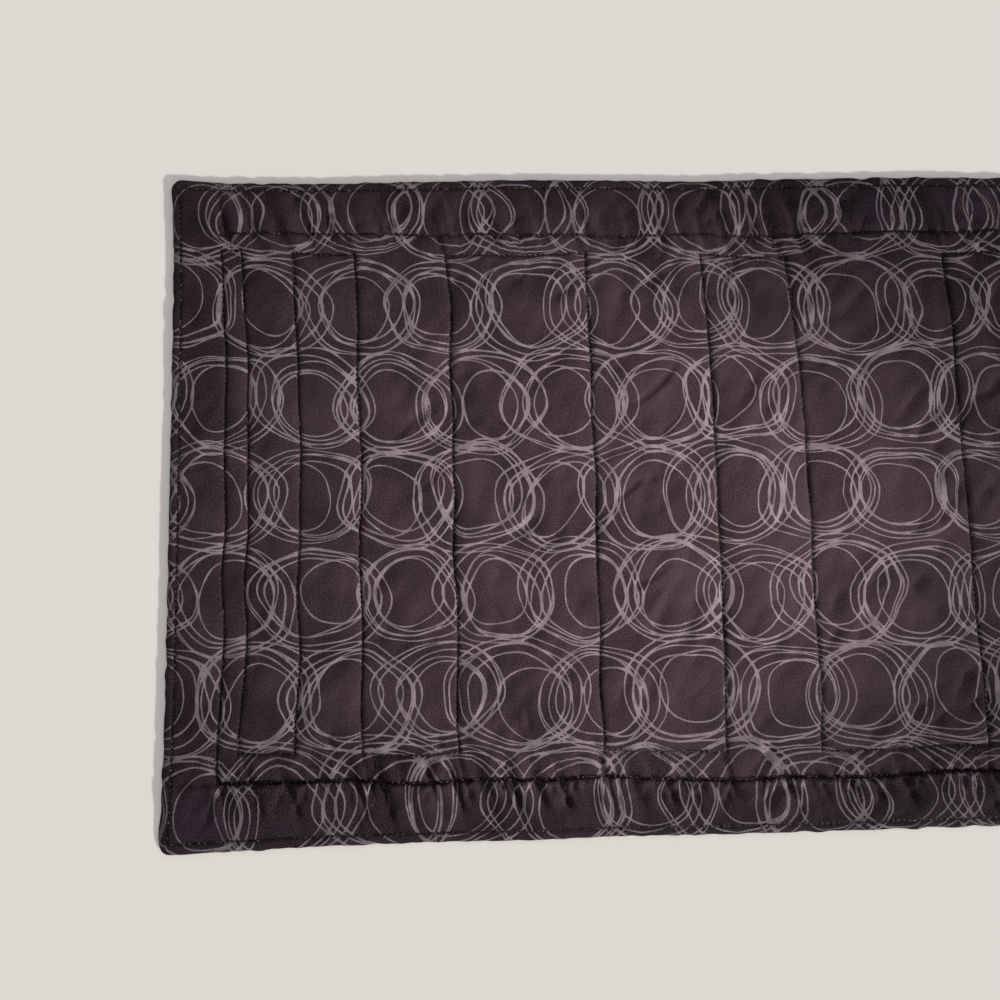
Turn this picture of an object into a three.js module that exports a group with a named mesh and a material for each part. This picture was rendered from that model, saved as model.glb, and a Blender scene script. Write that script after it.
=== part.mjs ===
// A quilted table runner that lies flat: a printed top, wadding and a backing, sewn face to face, turned
// right side out, topstitched round the edge and quilted through.
// Millimetres, +Z up. The origin is the middle of the underside, on the surface that the runner lies on.
// +X runs along the runner, and +Y runs across it to the far edge.
import * as THREE from "three";

// Driving sizes
const LENGTH = 1067; // 42 in, one width of quilting cotton, with no pieced seam
const WIDTH = 381; // 15 in
const CORNER_RADIUS = 7;
const CORNER_FLARE = 2.8; // how far each corner stands out past its end
const FLARE_SHARPNESS = 6; // how closely the flare keeps to the corner
const EDGE_ROUND = 0.8; // the turned edge's bulge past the flat of the top and the underside
const EDGE_BULGE_HEIGHT = 0.45; // the bulge's height, as a share of the edge's thickness

// Thickness of the sandwich
const STITCHED_THICKNESS = 1.7; // where a thread holds it down
const EDGE_THICKNESS = 2.6; // at the turned edge
const PANEL_THICKNESS = 4.0; // in the middle of a wide panel
const EDGE_FALL = 14; // how far in the panel's full thickness starts
const LOFT_REACH = 4.2; // how quickly the wadding rises beside a line of stitching

// Nominal places of the long lines of stitching, out from the centre line
const HALF_WIDTH = WIDTH / 2;
const TOPSTITCH_INSET = 5.3;
const BORDER = 157.5;
const STEP = 144.5;

// Gathers beside the border lines: their depth and pitch, how far their pitch wanders and over how many
// gathers, and how far out from the line they reach.
const GATHER = { depth: 0.7, pitch: 16.5, wander: 1.6, wanderOver: 7.3, reach: 9 };

// The panels' slow rise and fall: its depth, its pitch one way and the other, and its turn in radians.
const SWELL = { depth: 0.4, pitch: 74, crossPitch: 118, turn: 0.65 };

// Spacing of the surface's points
const SHOULDERS = [3.2, 8.5]; // out from each cross line
const NARROWEST_GAP = 2; // between the last shoulders of two cross lines
const PANEL_SPACING = 19; // at most, along a panel
const POINTS_PER_GATHER = 3;
const EDGE_SPACING = 2.3; // from the edge to the first row inside it

// The lines of quilting that cross the runner, from its left end to its middle. A row gives a line's distance
// from the end on the centre line, and how far its far and near ends lean along the runner.
const CROSS_LINES = [
  { fromEnd: 31.5, far: -3.6, near: -1.6 },
  { fromEnd: 44.5, far: -5.0, near: -3.4 },
  { fromEnd: 73.7, far: -4.8, near: -1.2 },
  { fromEnd: 108.3, far: -3.4, near: 1.2 },
  { fromEnd: 161.7, far: -2.4, near: 1.0 },
  { fromEnd: 243.1, far: -1.4, near: -0.2 },
  { fromEnd: 314.4, far: -3.6, near: -1.4 },
  { fromEnd: 367.9, far: -6.2, near: 0.2 },
  { fromEnd: 461.0, far: -2.8, near: 2.6 },
  { fromEnd: LENGTH / 2, far: -2.0, near: 2.0 },
];

// Where the far and near edges and the long lines beside them really run: how far out from the centre line
// each lies, at distances from the left end.
const FAR_SIDE = [
  { fromEnd: 0, step: 149.4, border: 158.0, edge: 192.2 },
  { fromEnd: 40, step: 148.6, border: 158.0, edge: 189.7 },
  { fromEnd: 90, step: 145.6, border: 158.2, edge: 189.3 },
  { fromEnd: 150, step: 145.0, border: 157.2, edge: 190.2 },
  { fromEnd: 200, step: 143.8, border: 156.6, edge: 191.0 },
  { fromEnd: 250, step: 144.8, border: 155.8, edge: 190.6 },
  { fromEnd: 310, step: 143.0, border: 155.8, edge: 189.5 },
  { fromEnd: 370, step: 142.4, border: 155.2, edge: 190.8 },
  { fromEnd: 440, step: 143.6, border: 157.0, edge: 191.4 },
  { fromEnd: LENGTH / 2, step: 144.8, border: 158.5, edge: 190.5 },
];
const NEAR_SIDE = [
  { fromEnd: 0, step: 140.4, border: 155.5, edge: 193.1 },
  { fromEnd: 40, step: 140.6, border: 155.7, edge: 192.0 },
  { fromEnd: 90, step: 141.0, border: 155.9, edge: 190.6 },
  { fromEnd: 150, step: 142.3, border: 157.2, edge: 190.2 },
  { fromEnd: 200, step: 142.8, border: 157.7, edge: 190.8 },
  { fromEnd: 250, step: 143.4, border: 157.8, edge: 190.1 },
  { fromEnd: 310, step: 144.9, border: 160.6, edge: 190.7 },
  { fromEnd: 370, step: 146.5, border: 160.9, edge: 190.8 },
  { fromEnd: 440, step: 146.0, border: 160.0, edge: 190.6 },
  { fromEnd: LENGTH / 2, step: 144.8, border: 158.5, edge: 190.5 },
];

// The right half repeats the left half turned round, so each side goes on as the other side runs back.
const turned = (rows) => rows.slice(0, -1).reverse().map((row) => ({ ...row, fromEnd: LENGTH - row.fromEnd }));
const farSide = [...FAR_SIDE, ...turned(NEAR_SIDE)];
const nearSide = [...NEAR_SIDE, ...turned(FAR_SIDE)];
const crossLines = [
  ...CROSS_LINES,
  ...turned(CROSS_LINES).map(({ fromEnd, far, near }) => ({ fromEnd, far: -near, near: -far })),
];

const smooth = (t) => {
  const held = THREE.MathUtils.clamp(t, 0, 1);
  return held * held * (3 - 2 * held);
};

// The pair of rows round a place along the runner, and the share of the way from the first to the second.
function between(rows, u) {
  const last = rows.length - 2;
  let i = 0;
  while (i < last && rows[i + 1].fromEnd < u) i++;
  const share = (u - rows[i].fromEnd) / (rows[i + 1].fromEnd - rows[i].fromEnd);
  return { before: rows[i], after: rows[i + 1], share: THREE.MathUtils.clamp(share, 0, 1) };
}

// How far the cloth leans along the runner at a place, following the cross lines on each side of it.
function leanAt(u, v) {
  const outward = Math.min(Math.abs(v) / STEP, 1) ** 2;
  const lean = (row) => (v > 0 ? row.far : row.near) * outward;
  const ends = [{ fromEnd: 0, far: 0, near: 0 }, ...crossLines, { fromEnd: LENGTH, far: 0, near: 0 }];
  const { before, after, share } = between(ends, u);
  return THREE.MathUtils.lerp(lean(before), lean(after), share);
}

// The corners' flare past the ends, which has died away at the first cross line.
function flareAt(u, v) {
  const fromEnd = Math.min(u, LENGTH - u);
  const fading = 1 - smooth(fromEnd / CROSS_LINES[0].fromEnd);
  const outward = (Math.abs(v) / HALF_WIDTH) ** FLARE_SHARPNESS;
  return Math.sign(u - LENGTH / 2) * CORNER_FLARE * outward * fading;
}

// Y of a nominal place across the runner, between the long lines on each side of it.
function acrossAt(u, v) {
  const { before, after, share } = between(v > 0 ? farSide : nearSide, u);
  const real = (line) => THREE.MathUtils.lerp(before[line], after[line], smooth(share));
  const places = [
    { nominal: 0, real: 0 },
    { nominal: STEP, real: real("step") },
    { nominal: BORDER, real: real("border") },
    { nominal: HALF_WIDTH, real: real("edge") },
  ];
  const out = Math.abs(v);
  const i = places.slice(1, -1).filter((place) => place.nominal < out).length;
  const [inner, outer] = [places[i], places[i + 1]];
  return Math.sign(v) * THREE.MathUtils.mapLinear(out, inner.nominal, outer.nominal, inner.real, outer.real);
}

// Draws a nominal place near a corner in onto the corner's arc.
function cornered(u, v) {
  const alongIn = CORNER_RADIUS - Math.min(u, LENGTH - u);
  const acrossIn = Math.abs(v) - (HALF_WIDTH - CORNER_RADIUS);
  if (alongIn <= 0 || acrossIn <= 0) return [u, v];
  const scale = Math.max(alongIn, acrossIn) / Math.hypot(alongIn, acrossIn);
  const fromEnd = CORNER_RADIUS - alongIn * scale;
  return [
    u < LENGTH / 2 ? fromEnd : LENGTH - fromEnd,
    Math.sign(v) * (HALF_WIDTH - CORNER_RADIUS + acrossIn * scale),
  ];
}

// A nominal place, as the real X and Y of the cloth that lies there.
function plan(u, v) {
  const [roundU, roundV] = cornered(u, v);
  const x = roundU - LENGTH / 2 + leanAt(roundU, roundV) + flareAt(roundU, roundV);
  return [x, acrossAt(roundU, roundV)];
}

// Every straight run of stitching, in nominal places: the topstitched edge, the two border lines, and one
// quilting line that crosses to and fro between them, joined by short steps.
function stitchedRuns() {
  const runs = [];
  const run = (u0, v0, u1, v1) => runs.push({ u0, v0, u1, v1 });
  const inner = HALF_WIDTH - TOPSTITCH_INSET;
  const [left, right] = [TOPSTITCH_INSET, LENGTH - TOPSTITCH_INSET];
  run(left, -inner, right, -inner);
  run(right, -inner, right, inner);
  run(right, inner, left, inner);
  run(left, inner, left, -inner);
  const places = crossLines.map((row) => row.fromEnd);
  const last = places.length - 1;
  run(places[0], BORDER, places[last], BORDER);
  run(places[0], -BORDER, places[last], -BORDER);
  places.forEach((u, i) => run(u, i === 0 ? -BORDER : -STEP, u, i === last ? BORDER : STEP));
  for (let i = 0; i < last; i++) {
    const side = i % 2 === 0 ? STEP : -STEP;
    run(places[i], side, places[i + 1], side);
  }
  return runs;
}
const runs = stitchedRuns();

// All runs lie along or across the runner, so each is a thin box, and this is the distance to it.
function distanceTo({ u0, v0, u1, v1 }, u, v) {
  const alongOff = Math.max(Math.min(u0, u1) - u, 0, u - Math.max(u0, u1));
  const acrossOff = Math.max(Math.min(v0, v1) - v, 0, v - Math.max(v0, v1));
  return Math.hypot(alongOff, acrossOff);
}

// Gathers that the border lines draw up, most of them beside the line.
function gatherAt(u, v) {
  const off = Math.abs(v) - BORDER;
  const phase = (2 * Math.PI * u) / GATHER.pitch + Math.sign(v);
  const uneven = Math.cos(phase + GATHER.wander * Math.cos(phase / GATHER.wanderOver));
  return GATHER.depth * uneven * Math.exp(-Math.abs(off) / GATHER.reach);
}

// The slow rise and fall of the panels.
function swellAt(u, v) {
  const place = new THREE.Vector2(u, v).rotateAround(new THREE.Vector2(), -SWELL.turn);
  const along = Math.cos((2 * Math.PI * place.x) / SWELL.pitch);
  const across = Math.cos((2 * Math.PI * place.y) / SWELL.crossPitch);
  return SWELL.depth * along * across;
}

// Height of the top over the surface that the runner lies on.
function topAt(u, v) {
  const fromEdge = Math.min(u, LENGTH - u, HALF_WIDTH - Math.abs(v));
  const ceiling = EDGE_THICKNESS + (PANEL_THICKNESS - EDGE_THICKNESS) * smooth(fromEdge / EDGE_FALL);
  const nearest = Math.min(...runs.map((run) => distanceTo(run, u, v)));
  const loft = 1 - Math.exp(-nearest / LOFT_REACH);
  const relief = ceiling - STITCHED_THICKNESS + gatherAt(u, v) + swellAt(u, v);
  return STITCHED_THICKNESS + loft * relief;
}

// Stations along a plain row: each cross line with its shoulders, and the panels between at even steps.
function plainStations() {
  const lines = [TOPSTITCH_INSET, ...crossLines.map((row) => row.fromEnd), LENGTH - TOPSTITCH_INSET];
  const stations = [0, EDGE_SPACING];
  for (let i = 0; i < lines.length - 1; i++) {
    const span = lines[i + 1] - lines[i];
    const shoulders = SHOULDERS.filter((shoulder) => 2 * shoulder < span - NARROWEST_GAP);
    const start = Math.max(0, ...shoulders);
    const steps = Math.ceil((span - 2 * start) / PANEL_SPACING);
    const stride = (span - 2 * start) / steps;
    const middle = Array.from({ length: steps - 1 }, (_, k) => start + (k + 1) * stride);
    const offsets = [0, ...shoulders, ...middle, ...shoulders.map((shoulder) => span - shoulder).reverse()];
    stations.push(...offsets.map((offset) => lines[i] + offset));
  }
  stations.push(LENGTH - TOPSTITCH_INSET, LENGTH - EDGE_SPACING, LENGTH);
  return stations;
}

// Stations along a row of gathers: the same at the ends, and even steps that follow the gathers between.
function gatheredStations(plain) {
  const [start, end] = [CROSS_LINES[0].fromEnd, LENGTH - CROSS_LINES[0].fromEnd];
  const steps = Math.round(((end - start) / GATHER.pitch) * POINTS_PER_GATHER);
  const even = Array.from({ length: steps + 1 }, (_, k) => THREE.MathUtils.lerp(start, end, k / steps));
  return [...plain.filter((u) => u < start), ...even, ...plain.filter((u) => u > end)];
}

// Rows across the runner, from the centre line out to the edge. A gathered row follows the gathers.
const ROWS = [
  { out: 0, gathered: false },
  { out: 24, gathered: false },
  { out: 48, gathered: false },
  { out: 72, gathered: false },
  { out: 96, gathered: false },
  { out: 118, gathered: false },
  { out: 135, gathered: false },
  { out: 141, gathered: false },
  { out: STEP, gathered: false },
  { out: 151, gathered: true },
  { out: BORDER, gathered: false },
  { out: 161, gathered: true },
  { out: 170, gathered: true },
  { out: 180, gathered: true },
  { out: HALF_WIDTH - TOPSTITCH_INSET, gathered: false },
  { out: HALF_WIDTH - EDGE_SPACING, gathered: false },
  { out: HALF_WIDTH, gathered: false },
];

// A nominal place, kept back from the edge by the turned edge's bulge.
const inside = (u, v) => [
  THREE.MathUtils.clamp(u, EDGE_ROUND, LENGTH - EDGE_ROUND),
  THREE.MathUtils.clamp(v, EDGE_ROUND - HALF_WIDTH, HALF_WIDTH - EDGE_ROUND),
];

// The closed surface of the runner: its top in rows, its turned edge in rings, and its flat underside.
function runnerGeometry() {
  const positions = [];
  const faces = [];
  const addPoint = (u, v, [x, y], z) => ({ u, v, x, y, id: positions.push(x, y, z) / 3 - 1 });

  const plain = plainStations();
  const gathered = gatheredStations(plain);
  const nearRows = ROWS.slice(1).map((row) => ({ ...row, out: -row.out })).reverse();
  const rows = [...nearRows, ...ROWS].map((row) =>
    (row.gathered ? gathered : plain).map((u) => {
      const place = inside(u, row.out);
      return addPoint(u, row.out, plan(...place), topAt(...place));
    }),
  );
  rows.slice(1).forEach((row, i) => zip(rows[i], row, faces));

  const rim = outline(rows);
  const bulge = rim.map(({ u, v }) => addPoint(u, v, plan(u, v), EDGE_THICKNESS * EDGE_BULGE_HEIGHT));
  const foot = rim.map(({ u, v }) => addPoint(u, v, plan(...inside(u, v)), 0));
  band(rim, bulge, faces);
  band(bulge, foot, faces);

  const underside = foot.map(({ x, y }) => new THREE.Vector2(x, y));
  for (const [a, b, c] of THREE.ShapeUtils.triangulateShape(underside, [])) {
    faces.push(foot[a].id, foot[c].id, foot[b].id);
  }

  const geometry = new THREE.BufferGeometry();
  geometry.setAttribute("position", new THREE.Float32BufferAttribute(positions, 3));
  geometry.setIndex(faces);
  geometry.computeVertexNormals();
  return geometry;
}

// Joins a near row to the far row beside it. They needn't have the same number of stations.
function zip(near, far, faces) {
  let i = 0;
  let j = 0;
  while (i < near.length - 1 || j < far.length - 1) {
    const nearNext = i < near.length - 1 ? near[i + 1].u : Infinity;
    const farNext = j < far.length - 1 ? far[j + 1].u : Infinity;
    if (nearNext <= farNext) {
      faces.push(near[i].id, near[i + 1].id, far[j].id);
      i++;
    } else {
      faces.push(near[i].id, far[j + 1].id, far[j].id);
      j++;
    }
  }
}

// The top's outer points, anticlockwise from above.
function outline(rows) {
  const [first, last] = [rows[0], rows[rows.length - 1]];
  const inner = rows.slice(1, -1);
  return [
    ...first,
    ...inner.map((row) => row[row.length - 1]),
    ...[...last].reverse(),
    ...inner.map((row) => row[0]).reverse(),
  ];
}

// Joins an upper ring to the ring below it, facing out.
function band(upper, lower, faces) {
  upper.forEach(({ id }, i) => {
    const next = (i + 1) % upper.length;
    faces.push(id, lower[i].id, lower[next].id);
    faces.push(id, lower[next].id, upper[next].id);
  });
}

const cloth = new THREE.MeshStandardMaterial({ color: "#3a2f34", roughness: 0.92, metalness: 0 });
const runner = new THREE.Mesh(runnerGeometry(), cloth);
runner.name = "runner";

const model = new THREE.Group();
model.add(runner);

export default model;
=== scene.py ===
"""The looks of a quilted table runner that lies flat: printed cotton over wadding, with a plain backing.

Lengths are millimetres until a mesh is made, and metres in Blender. A nominal place (u, v) is where a bit
of cloth would lie if every edge and line of stitching were straight: u runs from the left end, and v runs
across from the centre line. plan() gives its real place.
"""

import math

import bpy
import numpy as np
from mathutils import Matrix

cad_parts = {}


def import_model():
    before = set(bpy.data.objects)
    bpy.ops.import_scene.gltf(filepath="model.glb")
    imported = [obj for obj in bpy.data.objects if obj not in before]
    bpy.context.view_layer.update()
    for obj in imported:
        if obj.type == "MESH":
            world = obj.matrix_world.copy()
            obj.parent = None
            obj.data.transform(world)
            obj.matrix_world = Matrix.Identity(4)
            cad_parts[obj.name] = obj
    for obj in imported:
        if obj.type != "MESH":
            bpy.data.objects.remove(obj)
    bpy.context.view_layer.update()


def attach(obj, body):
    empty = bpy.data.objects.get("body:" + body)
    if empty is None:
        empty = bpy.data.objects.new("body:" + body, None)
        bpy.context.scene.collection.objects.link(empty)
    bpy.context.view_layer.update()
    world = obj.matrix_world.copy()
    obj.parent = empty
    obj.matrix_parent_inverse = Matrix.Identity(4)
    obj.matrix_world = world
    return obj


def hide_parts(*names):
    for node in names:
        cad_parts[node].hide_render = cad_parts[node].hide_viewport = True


MM = 0.001


def table(columns, *rows):
    """Rows of numbers as dicts, each value under its column's name."""
    return [dict(zip(columns.split(), row)) for row in rows]


# Driving sizes, as in the solid
LENGTH = 1067.0
WIDTH = 381.0
HALF_WIDTH = WIDTH / 2
CORNER_RADIUS = 7.0
CORNER_FLARE = 2.8
FLARE_SHARPNESS = 6
TOPSTITCH_INSET = 5.3
BORDER = 157.5
STEP = 144.5

# Thickness of the sandwich
STITCHED_TOP = 1.75
STITCHED_UNDER = 0.75
EDGE_THICKNESS = {"near": 2.7, "other": 3.4}
EDGE_STITCHED = {"near": 2.3, "other": 2.6}
PANEL_THICKNESS = 4.0
EDGE_FALL = 14.0
EDGE_ROUND = 1.0
EDGE_ROLL = {"near": 6.0, "other": 3.2}
EDGE_DETAIL = 0.30
LEAST_THICKNESS = 0.55
SOFT = 0.12
# Where the turned edge's folded layers end, and where the near edge's values set in
TURNED_IN = {"from": 6, "over": 4}
NEAR_EDGE = {"from": 165, "over": 15}
# How far from a seam the underside is lifted, and its pockets between seams
UNDER_LIFT_REACH = 3.2
POCKET = {"depth": 0.16, "reach": 3.0, "flat": 0.08}

# How the wadding rises beside a seam: steeply close to the thread, and slowly past that
LOFT = table("share reach", (0.54, 0.9), (0.46, 6.5))

# The lines of quilting that cross the runner, from its left end to its middle
CROSS_LINES = table(
    "from_end far near",
    (31.5, -3.6, -1.6),
    (44.5, -5.0, -3.4),
    (73.7, -4.8, -1.2),
    (108.3, -3.4, 1.2),
    (161.7, -2.4, 1.0),
    (243.1, -1.4, -0.2),
    (314.4, -3.6, -1.4),
    (367.9, -6.2, 0.2),
    (461.0, -2.8, 2.6),
    (LENGTH / 2, -2.0, 2.0),
)

# How far out from the centre line the long lines and the edges really run
FAR_SIDE = table(
    "from_end step border edge",
    (0, 149.4, 158.0, 192.2),
    (40, 148.6, 158.0, 189.7),
    (90, 145.6, 158.2, 189.3),
    (150, 145.0, 157.2, 190.2),
    (200, 143.8, 156.6, 191.0),
    (250, 144.8, 155.8, 190.6),
    (310, 143.0, 155.8, 189.5),
    (370, 142.4, 155.2, 190.8),
    (440, 143.6, 157.0, 191.4),
    (LENGTH / 2, 144.8, 158.5, 190.5),
)
NEAR_SIDE = table(
    "from_end step border edge",
    (0, 140.4, 155.5, 193.1),
    (40, 140.6, 155.7, 192.0),
    (90, 141.0, 155.9, 190.6),
    (150, 142.3, 157.2, 190.2),
    (200, 142.8, 157.7, 190.8),
    (250, 143.4, 157.8, 190.1),
    (310, 144.9, 160.6, 190.7),
    (370, 146.5, 160.9, 190.8),
    (440, 146.0, 160.0, 190.6),
    (LENGTH / 2, 144.8, 158.5, 190.5),
)


def turned(rows):
    """The rows of the right half, which repeats the left half turned round."""
    return [{**row, "from_end": LENGTH - row["from_end"]} for row in rows[-2::-1]]


far_side = FAR_SIDE + turned(NEAR_SIDE)
near_side = NEAR_SIDE + turned(FAR_SIDE)
cross_lines = CROSS_LINES + [
    {**row, "far": -row["near"], "near": -row["far"]} for row in turned(CROSS_LINES)
]


def column(rows, name):
    return np.array([row[name] for row in rows], float)


def smooth(share):
    held = np.clip(share, 0, 1)
    return held * held * (3 - 2 * held)


def eased_over(value, stretch):
    """Goes smoothly from 0 to 1 over a stretch of values."""
    return smooth((value - stretch["from"]) / stretch["over"])


def bell(off, width):
    """1 on a line, and falling away on both sides of it."""
    return np.exp(-((off / width) ** 2))


def to_end(u):
    """How far the nearer end is."""
    return np.minimum(u, LENGTH - u)


def eased(u, rows, name):
    """A column's value at u, easing from each row to the next."""
    places = column(rows, "from_end")
    values = column(rows, name)
    i = np.clip(np.searchsorted(places, u) - 1, 0, len(rows) - 2)
    share = (u - places[i]) / (places[i + 1] - places[i])
    return values[i] + (values[i + 1] - values[i]) * smooth(share)


class Waves:
    """An uneven rippling surface: many plane waves in about one direction, with a mean of 0."""

    def __init__(self, seed, lengths, direction, spread, count=28):
        rng = np.random.default_rng(seed)
        lengths = rng.uniform(*lengths, count)
        angles = np.radians(direction + rng.normal(0, spread, count))
        self.wave = 2 * np.pi / lengths * np.array([np.cos(angles), np.sin(angles)])
        self.phase = rng.uniform(0, 2 * np.pi, count)
        self.scale = math.sqrt(2 / count)

    def __call__(self, u, v=0):
        """The height at each place, with a spread of about 1."""
        height = np.zeros(np.broadcast(u, v).shape)
        for along, across, phase in zip(*self.wave, self.phase):
            height += np.cos(along * u + across * v + phase)
        return height * self.scale


# Plan of the cloth

# How far the stitching wanders, and how far in from an edge it does so fully
WANDER = 0.45
WANDER_FADE = 30
wander_along = Waves(seed=11, lengths=(45, 120), direction=80, spread=25)
wander_across = Waves(seed=12, lengths=(45, 120), direction=10, spread=25)
# How far the edges are scalloped, and how quickly that dies away inwards
SCALLOP = 0.22
SCALLOP_REACH = 5
edge_scallop = Waves(seed=13, lengths=(9, 26), direction=0, spread=2)


def lean_at(u, v):
    """How far the cloth leans along the runner, following the cross lines on each side of it."""
    outward = np.minimum(np.abs(v) / STEP, 1) ** 2
    places = [0, *column(cross_lines, "from_end"), LENGTH]
    far, near = (np.interp(u, places, [0, *column(cross_lines, side), 0]) for side in ("far", "near"))
    return np.where(v > 0, far, near) * outward


def flare_at(u, v):
    """The corners' flare past the ends, which has died away at the first cross line."""
    fading = 1 - smooth(to_end(u) / CROSS_LINES[0]["from_end"])
    outward = (np.abs(v) / HALF_WIDTH) ** FLARE_SHARPNESS
    return np.sign(u - LENGTH / 2) * CORNER_FLARE * outward * fading


def across_at(u, v):
    """Y of a nominal place, between the long lines on each side of it."""
    out = np.abs(v)
    sides = []
    for rows in (far_side, near_side):
        step, border, edge = (eased(u, rows, name) for name in ("step", "border", "edge"))
        inner = out / STEP * step
        middle = step + (out - STEP) / (BORDER - STEP) * (border - step)
        outer = border + (out - BORDER) / (HALF_WIDTH - BORDER) * (edge - border)
        sides.append(np.where(out < STEP, inner, np.where(out < BORDER, middle, outer)))
    return np.where(v > 0, sides[0], -sides[1])


def cornered(u, v):
    """A nominal place near a corner, drawn in onto the corner's arc."""
    along_in = CORNER_RADIUS - to_end(u)
    across_in = np.abs(v) - (HALF_WIDTH - CORNER_RADIUS)
    near_corner = (along_in > 0) & (across_in > 0)
    reach = np.where(near_corner, np.hypot(along_in, across_in), 1)
    scale = np.where(near_corner, np.maximum(along_in, across_in) / reach, 1)
    from_end = CORNER_RADIUS - along_in * scale
    round_u = np.where(u < LENGTH / 2, from_end, LENGTH - from_end)
    round_v = np.sign(v) * (HALF_WIDTH - CORNER_RADIUS + across_in * scale)
    return np.where(near_corner, round_u, u), np.where(near_corner, round_v, v)


def plan(u, v):
    """The real X and Y of the cloth at a nominal place."""
    round_u, round_v = cornered(u, v)
    x = round_u - LENGTH / 2 + lean_at(round_u, round_v) + flare_at(round_u, round_v)
    y = across_at(round_u, round_v)
    from_side = HALF_WIDTH - np.abs(round_v)
    from_end = to_end(round_u)
    inside = smooth(np.minimum(from_side, from_end) / WANDER_FADE)
    x = x + WANDER * inside * wander_along(u, v)
    y = y + WANDER * inside * wander_across(u, v)
    y = y + SCALLOP * edge_scallop(u) * np.exp(-from_side / SCALLOP_REACH)
    x = x + SCALLOP * edge_scallop(v) * np.exp(-from_end / SCALLOP_REACH)
    return x, y


# Lines of stitching

STITCH = 3.0


def stitched_runs():
    """Every straight run of stitching as nominal (u0, v0, u1, v1), by its seam."""
    inner = HALF_WIDTH - TOPSTITCH_INSET
    left, right = TOPSTITCH_INSET, LENGTH - TOPSTITCH_INSET
    places = column(cross_lines, "from_end")
    last = len(places) - 1
    corners = [(left, -inner), (right, -inner), (right, inner), (left, inner)]
    edge = [start + end for start, end in zip(corners, corners[1:] + corners[:1])]
    border = [(places[0], side, places[-1], side) for side in (BORDER, -BORDER)]
    quilting = []
    for i, u in enumerate(places):
        ends = [-BORDER if i == 0 else -STEP, BORDER if i == last else STEP]
        # The line goes down, across, up and across again.
        start, end = ends[::-1] if i % 2 else ends
        quilting.append((u, start, u, end))
        if i < last:
            quilting.append((u, end, places[i + 1], end))
    return {"edge_topstitching": edge, "border_stitching": border, "quilting_stitching": quilting}


seams = stitched_runs()


def nearest_seam(u, v):
    """How far the nearest line of stitching is, and how far along it the place is, at STITCH a stitch."""
    nearest = np.full(np.shape(u), 1e9)
    along = np.zeros(np.shape(u))
    for runs in seams.values():
        for u0, v0, u1, v1 in runs:
            off_u = np.maximum(np.maximum(min(u0, u1) - u, u - max(u0, u1)), 0)
            off_v = np.maximum(np.maximum(min(v0, v1) - v, v - max(v0, v1)), 0)
            distance = np.hypot(off_u, off_v)
            closer = distance < nearest
            nearest = np.where(closer, distance, nearest)
            # Each run has a whole number of stitches.
            length = abs(u1 - u0) + abs(v1 - v0)
            stretch = STITCH * round(length / STITCH) / length
            along = np.where(closer, stretch * (np.abs(u - u0) + np.abs(v - v0)), along)
    return nearest, along


# Relief of the top and the underside

SWELL = 0.34
CALM_ENDS = 0.72
WRINKLE = 0.35
CRUMPLE = 0.055
PUCKER = 0.20
GATHER = {"far": 1.9, "near": 1.8}
# The cloth stands up in a ridge just outside the near border line, which lies in a groove.
BORDER_RIDGE = {"height": 1.1, "out": 1.9, "width": 1.3}
# GROOVE's depth sinks the cloth, and its shade is the width of the painted shade along the groove.
GROOVE = {"depth": 0.55, "width": 0.55, "shade": 0.95}
# How far from a seam the wrinkles and the puckers set in, and how far the puckers reach
FREE_REACH = 2.6
CLOSE_REACH = 0.9
PUCKER_REACH = 4
# How far the gathers reach outside and inside their line, and where they start beside the ends
GATHER_REACH = {"outside": 17, "inside": 11}
GATHER_START = {"from": 12, "over": 26}
CALM = {"from": 90, "over": 80}

swell = Waves(seed=21, lengths=(48, 110), direction=60, spread=60)
wrinkle = Waves(seed=22, lengths=(8.5, 18), direction=131, spread=27, count=56)
crumple = Waves(seed=27, lengths=(4.5, 9), direction=120, spread=50, count=40)
wrinkle_patch = Waves(seed=23, lengths=(50, 120), direction=40, spread=60)
gather = Waves(seed=24, lengths=(12, 18), direction=0, spread=1.5, count=7)
fine_gather = Waves(seed=25, lengths=(6, 9.5), direction=0, spread=2, count=8)
pucker = Waves(seed=26, lengths=(5.5, 10.5), direction=0, spread=1, count=14)

# Gathers run across the border strips, but lean a little along them.
GATHER_LEAN = 0.33
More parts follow.
